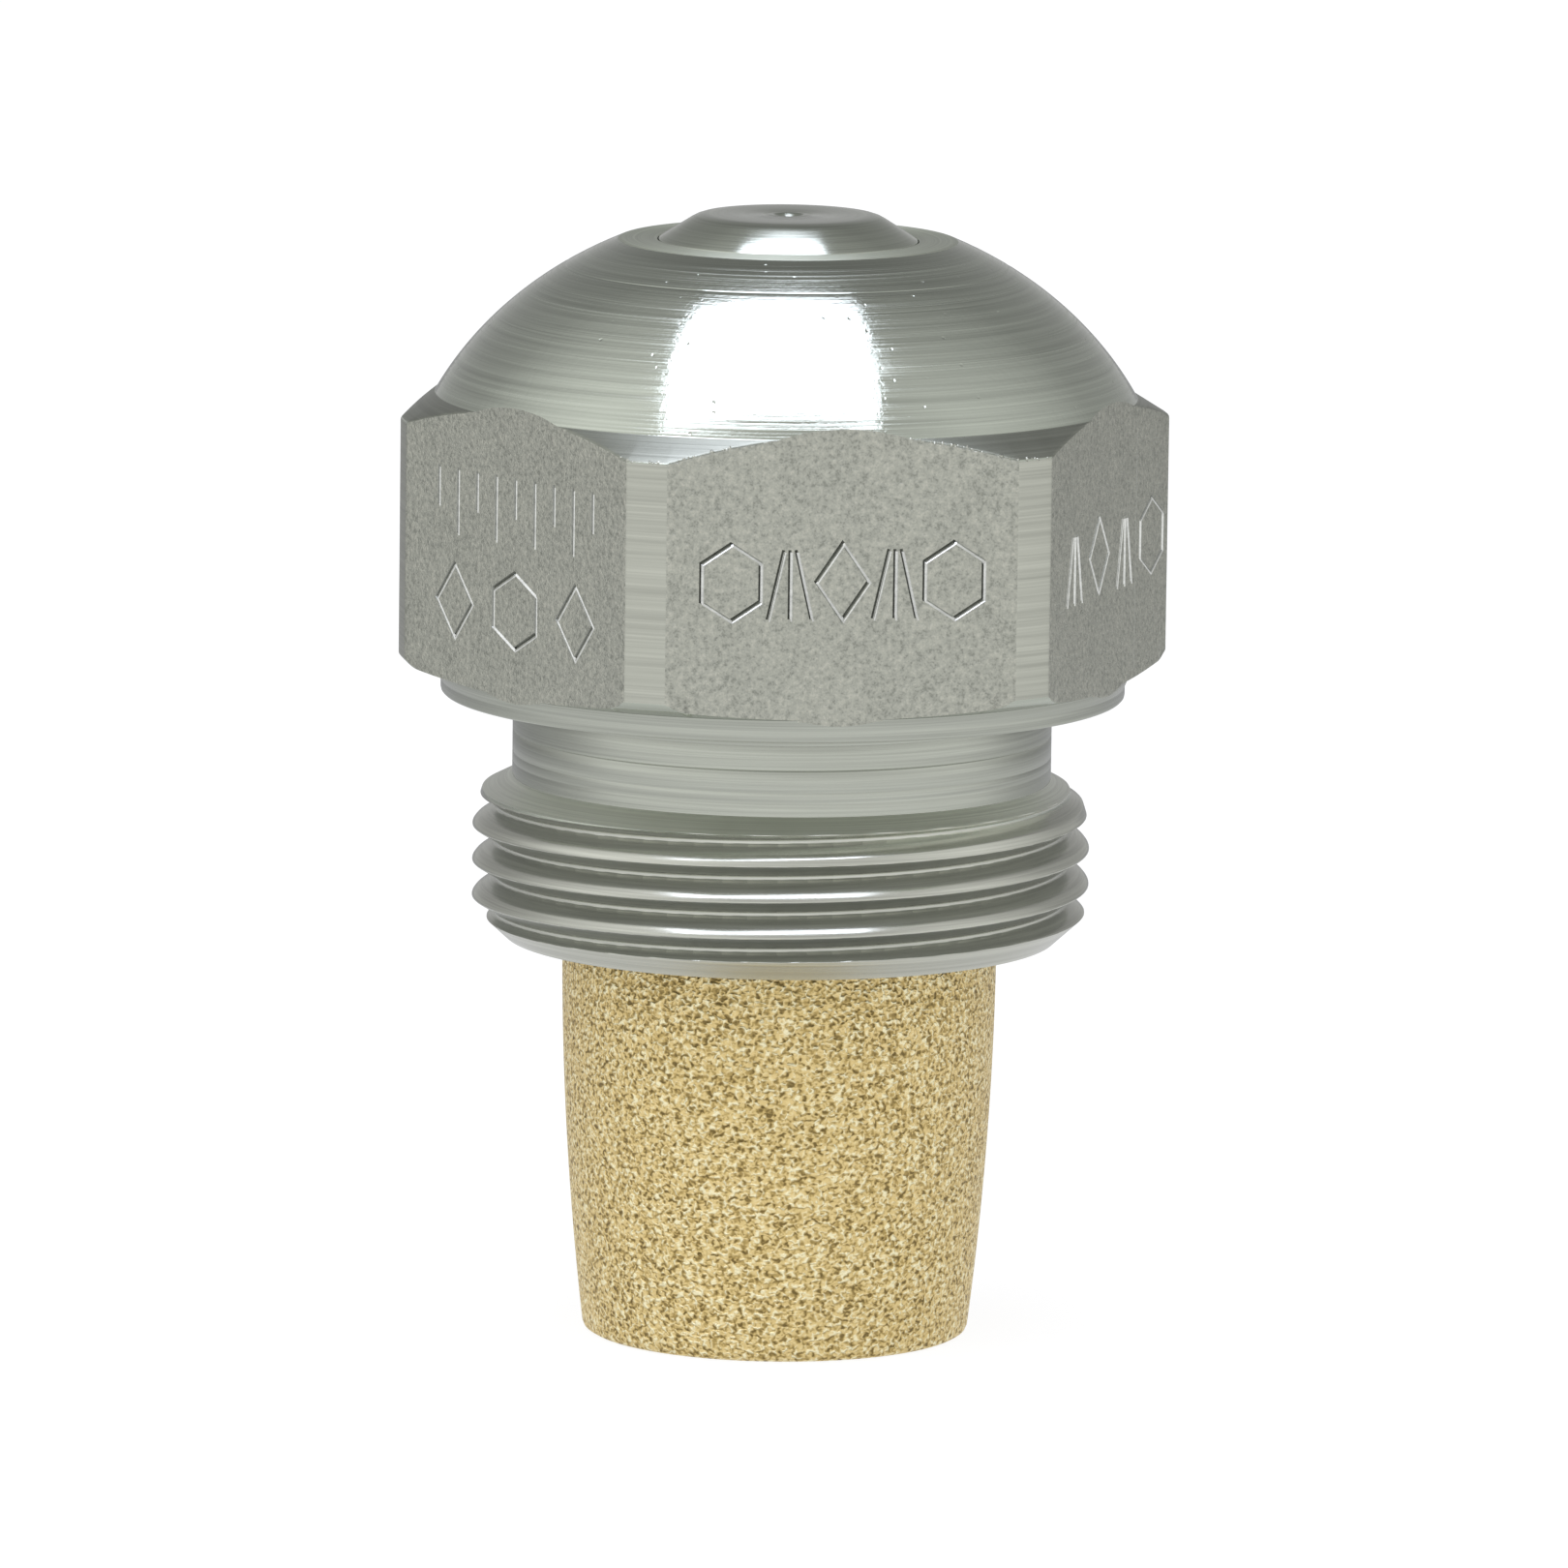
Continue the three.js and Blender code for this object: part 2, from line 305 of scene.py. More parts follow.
def body_outline(angle):
    """The body's closed outline at this angle: up the outside, then down through the bores."""
    reach = hex_reach(angle)
    collar = min(COLLAR_RADIUS, reach)
    run_out = float(np.interp(collar, (COLLAR_BAND, COLLAR_RADIUS), COLLAR_CONE))
    underside = min(UNDERSIDE_RADIUS, reach)
    underside_level = HEX_BOTTOM + (underside - collar) * UNDERSIDE_SLOPE
    ledge = min(DOME_EDGE, reach)
    flat_bottom = underside_level + reach - underside
    flat_top = hex_top(reach)
    flat_height = flat_top - flat_bottom
    thread_step = THREAD_PITCH / 64
    thread_levels = np.arange(REAR_FACE + thread_step, NECK_BOTTOM, thread_step)
    thread = zip(thread_radius(angle, thread_levels), thread_levels)
    tool_line = [
        (TOOL_LINE + 0.15, 0),
        (TOOL_LINE + 0.13, 0.001),
        (TOOL_LINE, 0.01),
        (TOOL_LINE - 0.01, 0),
        (TOOL_LINE - 0.02, 0),
    ]
    dome_radii = TOOL_LINE + (ledge - TOOL_LINE) * (1 - np.linspace(0, 1, 36) ** 1.5)
    nose_radii = np.linspace(TOOL_LINE - 0.1, LAND_EDGE + 0.1, 5)
    keys = [
        (FILTER_BORE[0], REAR_FACE, 0.06),
        (REAR_FACE_RADIUS, REAR_FACE, 0),
        *[(radius, height, 0) for radius, height in thread],
        (NECK_RADIUS, NECK_BOTTOM, 0),
        *[(NECK_RADIUS - depth, height, 0) for height, depth in neck_lines()],
        (NECK_RADIUS, COLLAR_BOTTOM, 0.14),
        (COLLAR_BAND, COLLAR_BOTTOM, 0.1),
        (COLLAR_BAND, COLLAR_CONE[0], 0.02),
        (collar, run_out, 0),
        (collar, HEX_BOTTOM, 0.03),
        (underside, underside_level, 0.03),
        (reach, flat_bottom, 0.04),
        *[(reach, flat_bottom + flat_height * t, 0) for t in (0.1, 0.3, 0.5, 0.7, 0.9)],
        (reach, flat_top, 0.07),
        (ledge, dome_level(ledge), 0.05),
        *[(radius, dome_level(radius), 0) for radius in dome_radii[1:-1]],
        *[(radius, dome_level(radius) - depth, 0) for radius, depth in tool_line],
        *[(radius, dome_level(radius), 0) for radius in nose_radii],
        (LAND_EDGE, NOSE_LAND, 0.06),
        (NOSE_BORE, NOSE_LAND, 0.05),
        (NOSE_BORE, DISC_BORE[1], 0),
        (DISC_BORE[0], DISC_BORE[1], 0.04),
        (DISC_BORE[0], LOCK_BORE[1], 0.04),
        (LOCK_BORE[0], LOCK_BORE[1], 0.04),
        (LOCK_BORE[0], FILTER_BORE[1], 0.08),
        (FILTER_BORE[0], FILTER_BORE[1], 0.04),
    ]
    return eased(keys)


def hexagon(across, up, width, height):
    """Corners of a hexagon whose middle is at [across, up] on a flat."""
    corners = [(0, 0.5), (0.5, 0.25), (0.5, -0.25), (0, -0.5), (-0.5, -0.25), (-0.5, 0.25)]
    return [(across + width * x, up + height * y) for x, y in corners]


def diamond(across, up, width, height):
    """Corners of a diamond whose middle is at [across, up] on a flat."""
    corners = [(0, 0.5), (0.5, 0), (0, -0.5), (-0.5, 0)]
    return [(across + width * x, up + height * y) for x, y in corners]


def spray_fan(across, up, width, height):
    """Three strokes spreading down from a point they don't quite reach."""
    top = up + height / 2
    return [
        [(across + 0.14 * width * side, top - 0.1 * height), (across + 0.5 * width * side, top - height)]
        for side in (-1, 0, 1)
    ]


def add_bar(made, flat, path, closed, width, base, tip, shift=(0, 0)):
    """Adds a three-sided bar along a path of [across, height] points on a flat.

    Base and tip are how far its broad side and its edge stand out from the flat."""
    points = np.array(path, float) + shift
    ahead, behind = np.roll(points, -1, axis=0) - points, points - np.roll(points, 1, axis=0)
    if not closed:
        ahead[-1], behind[0] = behind[-1], ahead[0]
    ahead /= np.hypot(*ahead.T)[:, None]
    behind /= np.hypot(*behind.T)[:, None]
    along = ahead + behind
    sideways = np.stack([-along[:, 1], along[:, 0]], axis=1) / (along**2).sum(axis=1)[:, None]
    out = Vector((math.cos(flat), math.sin(flat), 0))
    across = Vector((-math.sin(flat), math.cos(flat), 0))

    def corner(point, proud):
        place = out * (APOTHEM + proud) + across * point[0] + Vector((0, 0, point[1]))
        return made.verts.new(place * MM)

    sections = [
        (corner(point + side * width, base), corner(point - side * width, base), corner(point, tip))
        for point, side in zip(points, sideways)
    ]
    pairs = list(zip(sections, sections[1:] + sections[:1]))
    for here, there in pairs if closed else pairs[:-1]:
        for i in range(3):
            made.faces.new((here[i], here[i - 1], there[i - 1], there[i]))
    if not closed:
        made.faces.new(sections[0])
        made.faces.new(sections[-1])


def flat_marks():
    """The plain marks stamped on three flats, as [flat, path, closed]."""
    tall = 1.75
    front_level, left_level, right_level, fan_level, tick_top = 18.63, 17.45, 18.7, 18.65, 20.5
    marks = [
        (FRONT_FLAT, hexagon(-2.55, front_level, 1.35, tall), True),
        (FRONT_FLAT, diamond(0, front_level, 1.2, tall), True),
        (FRONT_FLAT, hexagon(2.55, front_level, 1.35, tall), True),
        (LEFT_FLAT, diamond(-2.2, left_level, 1.3, 1.7), True),
        (LEFT_FLAT, hexagon(0, left_level, 1.55, tall), True),
        (LEFT_FLAT, diamond(2.2, left_level, 1.3, 1.7), True),
        (RIGHT_FLAT, diamond(-0.75, right_level, 1.3, tall), True),
        (RIGHT_FLAT, hexagon(2.85, right_level, 1.55, tall), True),
    ]
    for flat, across in ((FRONT_FLAT, -1.2), (FRONT_FLAT, 1.2), (RIGHT_FLAT, -2.4), (RIGHT_FLAT, 1.0)):
        marks += [(flat, stroke, False) for stroke in spray_fan(across, fan_level, 1.0, tall)]
    for tick in range(9):
        across = -2.8 + 0.7 * tick
        length = 1.5 if tick % 2 else 0.9
        marks.append((LEFT_FLAT, [(across, tick_top), (across, tick_top - length)], False))
    return marks


def bars_object(name, bars):
    """One object made of three-sided bars; each is the arguments of add_bar."""
    made = bmesh.new()
    for bar in bars:
        add_bar(made, *bar)
    bmesh.ops.recalc_face_normals(made, faces=made.faces)
    return finished(name, made)


def engraving_tool():
    """Cutters for the marks, and for a fine upright scratch on the right flat."""
    width, base, depth = 0.15, 0.06, -0.06
    scratch = [(1.8, 15.7), (1.8, 21.2)]
    cutters = [(*mark, width, base, depth) for mark in flat_marks()]
    cutters.append((RIGHT_FLAT, scratch, False, 0.06, 0.02, -0.02))
    tool = bars_object("engraving", cutters)
    # The cut faces take the darker steel: painted shade in the grooves of the marks.
    for face in tool.data.polygons:
        face.material_index = PAINTED_SHADE
    return tool


def make_mark_lips(material):
    """The thin lips that stamping raised along the lower right of each mark, in a lighter steel: a
    painted highlight.
    """
    width, base, proud = 0.09, -0.02, 0.018
    aside = (0.055, -0.055)
    lips = bars_object("mark_lips", [(*mark, width, base, proud, aside) for mark in flat_marks()])
    set_material(lips, material)
    return lips


def make_burrs(material):
    """Crumbs of steel that milling the flats left along the front edges under the dome."""
    chance = random.Random(7)
    made = bmesh.new()
    for side, first, last, count in ((1, 10.0, 33.0, 44), (-1, 18.0, 36.0, 26)):
        for _ in range(count):
            offset = chance.uniform(first, last)
            angle = FRONT_FLAT + math.radians(side * offset)
            reach = hex_reach(angle)
            radius = (reach - 0.045) * MM
            level = (hex_top(reach) - 0.01) * MM
            place = Vector((radius * math.cos(angle), radius * math.sin(angle), level))
            size = chance.uniform(0.02, 0.065) * MM
            lump = bmesh.ops.create_icosphere(made, subdivisions=1, radius=size)["verts"]
            for vert in lump:
                vert.co = place + vert.co * chance.uniform(0.6, 1.3)
    burrs = finished("edge_burrs", made)
    set_material(burrs, material)
    smooth(burrs, sharp_degrees=60)
    return burrs


def body_slot(face):
    """The material slot of one face of the body, by where it is and which way it faces."""
    x, y, height = face.center / MM
    radius = math.hypot(x, y)
    offset = flat_offset(math.atan2(y, x))
    plane = radius * math.cos(math.radians(offset))
    upright = abs(face.normal.z) < 0.35
    on_hex = radius > HEX_INSIDE and upright and height < CORNER_TOP + 1.0
    on_flat = abs(offset) < HEX_EDGE - 0.03 and plane > APOTHEM - 0.02
    if on_hex and on_flat and height > COLLAR_BOTTOM:
        return BLASTED
    if on_hex and height > HEX_BOTTOM:
        return STRIP
    if radius > DOME_EDGE and height > CORNER_TOP:
        return LEDGE
    if height < THREAD_TOP - 0.05:
        # Downward-facing lower flanks take the darker steel: painted shade.
        lower_flank = face.normal.z < -0.75 and height > REAR_CHAMFER
        return PAINTED_SHADE if lower_flank else THREAD
    if NECK_BOTTOM < height < HEX_BOTTOM and radius > NECK_RADIUS - 0.1:
        return NECK
    if THREAD_TOP < height < NECK_BOTTOM:
        return RUN_IN
    if height > NOSE_LAND - 0.02:
        return LAND
    return TURNED


def make_body(materials):
    angles = body_angles()
    body = ring_mesh("body_fine", [body_outline(angle) for angle in angles], angles)
    for material in materials:
        body.data.materials.append(material)
    for face in body.data.polygons:
        face.material_index = body_slot(face)
    cut(body, engraving_tool())
    smooth(body)
    return body


# ---------------------------------------------------------------- orifice disc

SEAT_RADIUS, SEAT_BOTTOM = 3.05, disc_low.z
SEAT_TIP_RADIUS, SEAT_TIP = 0.35, 25.0


def make_disc(material):
    button = NOSE_BORE - 0.015
    flange = disc_high.x
    flange_top = DISC_BORE[1] - 0.05
    hole, hole_bottom = 0.12, TOP - 0.55
    keys = [
        (SEAT_RADIUS, SEAT_BOTTOM, 0.03),
        (flange, SEAT_BOTTOM, 0.08),
        (flange, flange_top, 0.08),
        (button, flange_top, 0.03),
        (button, NOSE_LAND, 0.04),
        (button - 0.9, TOP - 0.01, 0.2),
        (button - 1.3, TOP, 0),
        (0.62, TOP, 0),
        (0.52, TOP - 0.02, 0.04),
        (0.36, TOP, 0.06),
        (hole, TOP - 0.16, 0.03),
        (hole, hole_bottom, 0),
        (SEAT_TIP_RADIUS, hole_bottom, 0),
        (SEAT_TIP_RADIUS, SEAT_TIP, 0),
    ]
    disc = turned_mesh("disc_fine", keys, 256)
    set_material(disc, material)
    smooth(disc)
    return disc


# ---------------------------------------------------------------- swirl distributor


def make_swirl(material):
    seat_height, seat_width = SEAT_TIP - SEAT_BOTTOM, SEAT_RADIUS - SEAT_TIP_RADIUS
    slope = seat_height / seat_width
    shoulder, tip = 22.3, 0.6
    cone = SEAT_RADIUS - 0.05
    keys = [
        (0, swirl_low.z, 0),
        (swirl_high.x, swirl_low.z, 0.1),
        (swirl_high.x, shoulder, 0.06),
        (cone, SEAT_BOTTOM + (SEAT_RADIUS - cone) * slope - 0.05, 0.06),
        (tip, swirl_high.z, 0.05),
        (0, swirl_high.z, 0),
    ]
    swirl = turned_mesh("swirl_fine", keys)
    slot_size = (5.0, 0.35, 0.5)  # along the cone, wide, deep
    slot_middle = Matrix.Translation((1.9, 0.55, SEAT_BOTTOM + seat_height * 0.43))
    lean = Matrix.Rotation(math.atan2(seat_height, seat_width), 4, "Y")
    for quarter in range(4):
        turn = Matrix.Rotation(quarter * math.pi / 2, 4, "Z")
        cut(swirl, box_mesh("slot", slot_size, turn @ slot_middle @ lean))
    set_material(swirl, material)
    smooth(swirl)
    return swirl


# ---------------------------------------------------------------- lock screw


def make_screw(material):
    radius = screw_high.x
    shank, shoulder, thread_end, nose = 3.4, 12.25, 18.2, 2.8
    bore, bore_top = 1.5, screw_high.z - 0.5
    pitch, groove = 0.75, 0.25
    driver_slot = (2 * shank + 1, 1.0, 2.0)
    keys = [
        (0, bore_top, 0),
        (bore, bore_top, 0),
        (bore, screw_low.z, 0.08),
        (shank, screw_low.z, 0.15),
        (shank, shoulder, 0.05),
        (radius, shoulder, 0.1),
    ]
    level = shoulder + 0.6
    while level < thread_end - 0.3:
        keys += [
            (radius, level - 0.3 * pitch, 0.05),
            (radius - groove, level, 0.05),
            (radius, level + 0.3 * pitch, 0.05),
        ]
        level += pitch
    keys += [
        (radius, thread_end, 0.1),
        (nose, thread_end, 0.05),
        (nose, screw_high.z, 0.05),
        (0, screw_high.z, 0),
    ]
    screw = turned_mesh("screw_fine", keys)
    cut(screw, box_mesh("driver_slot", driver_slot, Matrix.Translation((0, 0, screw_low.z))))
    set_material(screw, material)
    smooth(screw)
    return screw


# ---------------------------------------------------------------- sintered filter


def make_filter(material):
    mouth, widest = filter_high.z, filter_high.x
    barrel = 0.0067  # how fast the cup narrows below the body
    socket, socket_bottom = 3.45, 9.3
    cavity_top, cavity_bottom, floor = 3.35, 3.0, 1.6

    def radius(height):
        return widest - barrel * (REAR_FACE - height) ** 2

    levels = np.linspace(0.22, REAR_FACE, 60)
    keys = [
        (0, 0, 0),
        (2.0, 0, 0),
        (radius(0), 0, 0.26),
        *[(radius(height), height, 0) for height in levels[1:]],
        (widest, mouth, 0.1),
        (socket, mouth, 0.1),
        (socket, socket_bottom, 0.05),
        (cavity_top, socket_bottom - 0.1, 0.05),
        (cavity_bottom, floor, 0.2),
        (0, floor, 0),
    ]
    cup = turned_mesh("filter_fine", keys, 256)
    set_material(cup, material)
    smooth(cup, sharp_degrees=50)
    return cup


# ---------------------------------------------------------------- materials


class Nodes:
    """Short calls for building one node tree."""

    def __init__(self, tree):
        self.tree = tree
        tree.nodes.clear()

    def add(self, kind, inputs=(), **settings):
        node = self.tree.nodes.new(kind)
        for key, value in settings.items():
            setattr(node, key, value)
        for key, value in dict(inputs).items():
            self.set(node.inputs[key], value)
        return node

    def set(self, socket, value):
        if isinstance(value, bpy.types.NodeSocket):
            self.tree.links.new(value, socket)
        else:
            socket.default_value = value

    def math(self, operation, a, b=0.0, c=0.0):
        return self.add("ShaderNodeMath", {0: a, 1: b, 2: c}, operation=operation).outputs[0]

    def scaled(self, vector, scale):
        node = self.add("ShaderNodeVectorMath", {0: vector, 1: scale}, operation="MULTIPLY")
        return node.outputs[0]

    def noise(self, vector, scale, detail, roughness, distortion=0.0):
        inputs = {
            "Vector": vector,
            "Scale": scale,
            "Detail": detail,
            "Roughness": roughness,
            "Distortion": distortion,
        }
        return self.add("ShaderNodeTexNoise", inputs).outputs[0]

    def map_range(self, value, source, target):
        inputs = {0: value, 1: source[0], 2: source[1], 3: target[0], 4: target[1]}
        return self.add("ShaderNodeMapRange", inputs).outputs[0]

    def ramp(self, value, stops):
        node = self.add("ShaderNodeValToRGB", {0: value})
        elements = node.color_ramp.elements
        elements[0].position, elements[0].color = stops[0][0], colour(stops[0][1])
        elements[1].position, elements[1].color = stops[-1][0], colour(stops[-1][1])
        for position, shade in stops[1:-1]:
            elements.new(position).color = colour(shade)
        return node.outputs[0]

    def mix(self, factor, a, b):
        node = self.add("ShaderNodeMix", data_type="RGBA")
        self.set(node.inputs[0], factor)
        self.set(node.inputs[6], a)
        self.set(node.inputs[7], b)
        return node.outputs[2]


def colour(shade):
    return (shade, shade, shade, 1) if isinstance(shade, float) else (*shade, 1)


def new_material(name):
    material = bpy.data.materials.new(name)
    material.use_nodes = True
    return material, Nodes(material.node_tree)


def plain_coordinates(nodes):
    """The place on the piece, in millimetres."""
    place = nodes.add("ShaderNodeTexCoord").outputs["Object"]
    return nodes.scaled(place, (1 / MM,) * 3)


def ring_coordinates(nodes):
    """Coordinates in millimetres in which noise draws fine rings round the axis."""
    round_share = 0.007  # how much the rings vary on the way round
    x, y, z = nodes.add("ShaderNodeSeparateXYZ", {0: plain_coordinates(nodes)}).outputs
    squares = nodes.math("ADD", nodes.math("MULTIPLY", x, x), nodes.math("MULTIPLY", y, y))
    radius = nodes.math("SQRT", squares)
    part = {
        "X": nodes.math("ADD", nodes.math("MULTIPLY", x, round_share), radius),
        "Y": nodes.math("MULTIPLY", y, round_share),
        "Z": z,
    }
    return nodes.add("ShaderNodeCombineXYZ", part).outputs[0]


def finish_metal(nodes, base, roughness, height, depth, anisotropic=0.0, metallic=1.0):
    """Joins colour, roughness and a height in millimetres to a metal surface."""
    bump = nodes.add("ShaderNodeBump", {"Height": height, "Distance": depth * MM, "Strength": 1.0})
    inputs = {
        "Base Color": base,
        "Metallic": metallic,
        "Roughness": roughness,
        "Normal": bump.outputs[0],
        "Anisotropic": anisotropic,
        "Anisotropic Rotation": 0.25,
    }
    if anisotropic > 0:
        inputs["Tangent"] = nodes.add("ShaderNodeTangent", direction_type="RADIAL", axis="Z").outputs[0]
    shader = nodes.add("ShaderNodeBsdfPrincipled", inputs)
    nodes.add("ShaderNodeOutputMaterial", {"Surface": shader.outputs[0]})


def turned_steel(
    name, base, roughness, depth=0.004, anisotropic=0.4, ring_roughness=0.0, nick_depth=0.0
):
    """Lathe-turned steel: fine rings, a few deeper ones, and a little cloudy wear.

    Depth, in millimetres, is how deep the rings look. Ring_roughness makes some rings rougher than
    others. Nick_depth, in millimetres, adds small nicks and makes the surface slightly uneven."""
    material, nodes = new_material(name)
    rings = ring_coordinates(nodes)
    place = plain_coordinates(nodes)
    fine = nodes.noise(rings, scale=22.0, detail=3.0, roughness=0.6)
    coarse = nodes.noise(rings, scale=6.0, detail=2.0, roughness=0.6)
    cloud = nodes.noise(place, scale=0.6, detail=3.0, roughness=0.6)
    height = nodes.math("MULTIPLY_ADD", fine, 0.5, nodes.math("MULTIPLY", coarse, 1.3))
    darker, lighter = ([part * share for part in base] for share in (0.78, 1.14))
    lines = nodes.math("MULTIPLY_ADD", coarse, 0.5, nodes.math("MULTIPLY", fine, 0.5))
    line = nodes.ramp(lines, [(0.36, darker), (0.64, lighter)])
    cloudy = colour([part * 1.04 for part in base])
    base_colour = nodes.mix(nodes.math("MULTIPLY", cloud, 0.3), line, cloudy)
    if nick_depth > 0:
        spots = nodes.add("ShaderNodeTexVoronoi", {"Vector": place, "Scale": 2.1}).outputs[0]
        nick = nodes.map_range(spots, (0.0, 0.11), (-nick_depth / depth, 0.0))
        worn = nodes.map_range(cloud, (0.46, 0.52), (0.0, 1.0))
        height = nodes.math("MULTIPLY_ADD", nick, worn, height)
        uneven = nodes.noise(place, scale=6.0, detail=2.0, roughness=0.6)
        height = nodes.math("MULTIPLY_ADD", uneven, 0.25 * nick_depth / depth, height)
    rough = nodes.math("MULTIPLY_ADD", cloud, 0.1, roughness - 0.05 - 0.5 * ring_roughness)
    rough = nodes.math("MULTIPLY_ADD", fine, ring_roughness, rough)
    finish_metal(nodes, base_colour, rough, height, depth, anisotropic)
    return material


def blasted_steel(name):
    """Steel blasted matt, with a fine dark speckle."""
    material, nodes = new_material(name)
    place = plain_coordinates(nodes)
    grain = nodes.noise(place, scale=9.0, detail=2.0, roughness=0.6)
    fine = nodes.noise(place, scale=24.0, detail=2.0, roughness=0.6)
    cloud = nodes.noise(place, scale=1.2, detail=2.0, roughness=0.5)
    speckle = nodes.math("ADD", nodes.math("MULTIPLY", grain, 0.6), nodes.math("MULTIPLY", fine, 0.4))
    level = nodes.math("MULTIPLY_ADD", cloud, 0.12, nodes.math("SUBTRACT", speckle, 0.06))
    greys = [
        (0.36, (0.275, 0.284, 0.246)),
        (0.46, (0.38, 0.388, 0.34)),
        (0.55, (0.43, 0.438, 0.38)),
        (0.66, (0.51, 0.51, 0.444)),
    ]
    height = nodes.math("ADD", grain, nodes.math("MULTIPLY", fine, 0.5))
    finish_metal(nodes, nodes.ramp(level, greys), roughness=0.46, height=height, depth=0.03)
    return material


def sintered_bronze(name):
    """Bonded bronze beads, pale gold with small winding pores. The colour follows the bump's height: the
    pores are painted dark, a painted shade, and the bead tops pale, a painted highlight.
    """
    material, nodes = new_material(name)
    place = plain_coordinates(nodes)
    cloud = nodes.noise(place, scale=0.7, detail=2.0, roughness=0.5)
    squat = nodes.scaled(place, (0.9, 0.9, 1.1))
    level = nodes.noise(squat, scale=10.0, detail=0.0, roughness=0.5, distortion=0.7)
    # Gold that darkens into the pores and pales on the bead tops: painted shade and painted highlight.
    gold_with_painted_light = [
        (0.22, (0.14, 0.09, 0.015)),
        (0.37, (0.48, 0.34, 0.11)),
        (0.46, (0.75, 0.58, 0.25)),
        (0.57, (0.83, 0.65, 0.3)),
        (0.72, (1.0, 0.93, 0.62)),
    ]
    even = colour((0.78, 0.6, 0.27))
    base = nodes.mix(nodes.math("MULTIPLY", cloud, 0.2), nodes.ramp(level, gold_with_painted_light), even)
    finish_metal(nodes, base, roughness=0.42, height=level, depth=0.1, metallic=0.6)
    return material


def turned_brass(name):
    return turned_steel(name, (0.62, 0.45, 0.2), 0.28)


# ---------------------------------------------------------------- the pieces

# In the order of the body's material slots: TURNED, BLASTED, STRIP and so on.
steel_materials = [
    turned_steel("steel_turned", (0.455, 0.486, 0.423), 0.12, ring_roughness=0.9, nick_depth=0.012),
    blasted_steel("steel_blasted"),
    turned_steel("steel_strip", (0.445, 0.455, 0.397), 0.36, depth=0.002),
    # A lighter copy of the steel on the thread: painted light on its flanks.
    turned_steel("steel_thread_lit", (0.53, 0.54, 0.48), 0.22, depth=0.002),
    # A lighter copy of the steel on the nose's land: painted light.
    turned_steel("steel_land_lit", (0.545, 0.58, 0.487), 0.5, depth=0.006, anisotropic=0.7),
    # A darker copy of the steel on the ledges between the dome and the corners: painted shade.
    turned_steel("steel_ledge_shaded", (0.27, 0.283, 0.242), 0.36, depth=0.006, anisotropic=0.3),
    # Darker steel: painted shade in the mark grooves and on the thread's lower flanks.
    turned_steel("steel_painted_shade", (0.34, 0.35, 0.32), 0.4, depth=0.002, anisotropic=0.0),
    # A much lighter copy of the steel on the run-in cone above the thread: painted light.
    turned_steel("steel_run_in_lit", (0.78, 0.8, 0.73), 0.36, depth=0.012),
    # A slightly darker copy of the turned steel on the neck: painted shade.
    turned_steel("steel_neck_shaded", (0.425, 0.443, 0.39), 0.24, depth=0.003),
]
# A lighter steel for the raised lips: painted highlight.
lip_steel_highlight = turned_steel("steel_lip_highlight", (0.68, 0.69, 0.66), 0.3, anisotropic=0.0)
disc_steel = turned_steel("steel_disc", (0.445, 0.475, 0.408), 0.16, depth=0.002)

take_place(make_body(steel_materials), "nozzle_body", "housing")
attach(make_burrs(steel_materials[STRIP]), "housing")
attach(make_mark_lips(lip_steel_highlight), "housing")
take_place(make_disc(disc_steel), "orifice_disc", "disc")
take_place(make_swirl(turned_brass("brass_swirl")), "swirl_distributor", "screw")
take_place(make_screw(turned_brass("brass_screw")), "lock_screw", "screw")
take_place(make_filter(sintered_bronze("bronze_sintered")), "sintered_filter", "filter")

# ---------------------------------------------------------------- studio

VIEW_AZIMUTH = math.radians(-9.5)
VIEW_ELEVATION = math.radians(9.0)
VIEW_ROLL = math.radians(0.73)
VIEW_DISTANCE = 0.35


def towards_front(nodes, direction):
    """The level part of a direction that points to the studio's front, where the camera stands."""
    x, y, _ = nodes.add("ShaderNodeSeparateXYZ", {0: direction}).outputs
    sideways = nodes.math("MULTIPLY", x, math.sin(VIEW_AZIMUTH))
    return nodes.math("MULTIPLY_ADD", y, -math.cos(VIEW_AZIMUTH), sideways)


def floor_material():
    """A floor that glows: plain white to the camera, and in reflections a painted glow, a little darker
    behind than in front.
    """
    material, nodes = new_material("floor_white")
    place = nodes.add("ShaderNodeNewGeometry").outputs["Position"]
    y = nodes.add("ShaderNodeSeparateXYZ", {0: place}).outputs[1]
    near = nodes.math("MULTIPLY_ADD", y, -5.0, 0.5)
    # Painted glow seen only in reflections: darker behind, brighter in front.
    painted_reflected_glow = nodes.ramp(near, [(0.0, 0.22), (0.25, 0.42), (0.5, 0.7), (0.8, 0.9), (1.0, 0.95)])
    seen = nodes.add("ShaderNodeLightPath").outputs["Is Camera Ray"]
    inputs = {
        "Base Color": colour(0.1),
        "Roughness": 0.9,
        "Emission Color": nodes.mix(seen, painted_reflected_glow, colour(0.9)),
        "Emission Strength": 1.0,
    }
    shader = nodes.add("ShaderNodeBsdfPrincipled", inputs)
    nodes.add("ShaderNodeOutputMaterial", {"Surface": shader.outputs[0]})
    return material


def make_floor():
    half = 1.5
    mesh = bpy.data.meshes.new("floor")
    corners = [(-half, -half, 0), (half, -half, 0), (half, half, 0), (-half, half, 0)]
    mesh.from_pydata(corners, [], [(0, 1, 2, 3)])
    floor = add_object("floor", mesh)
    mesh.materials.append(floor_material())


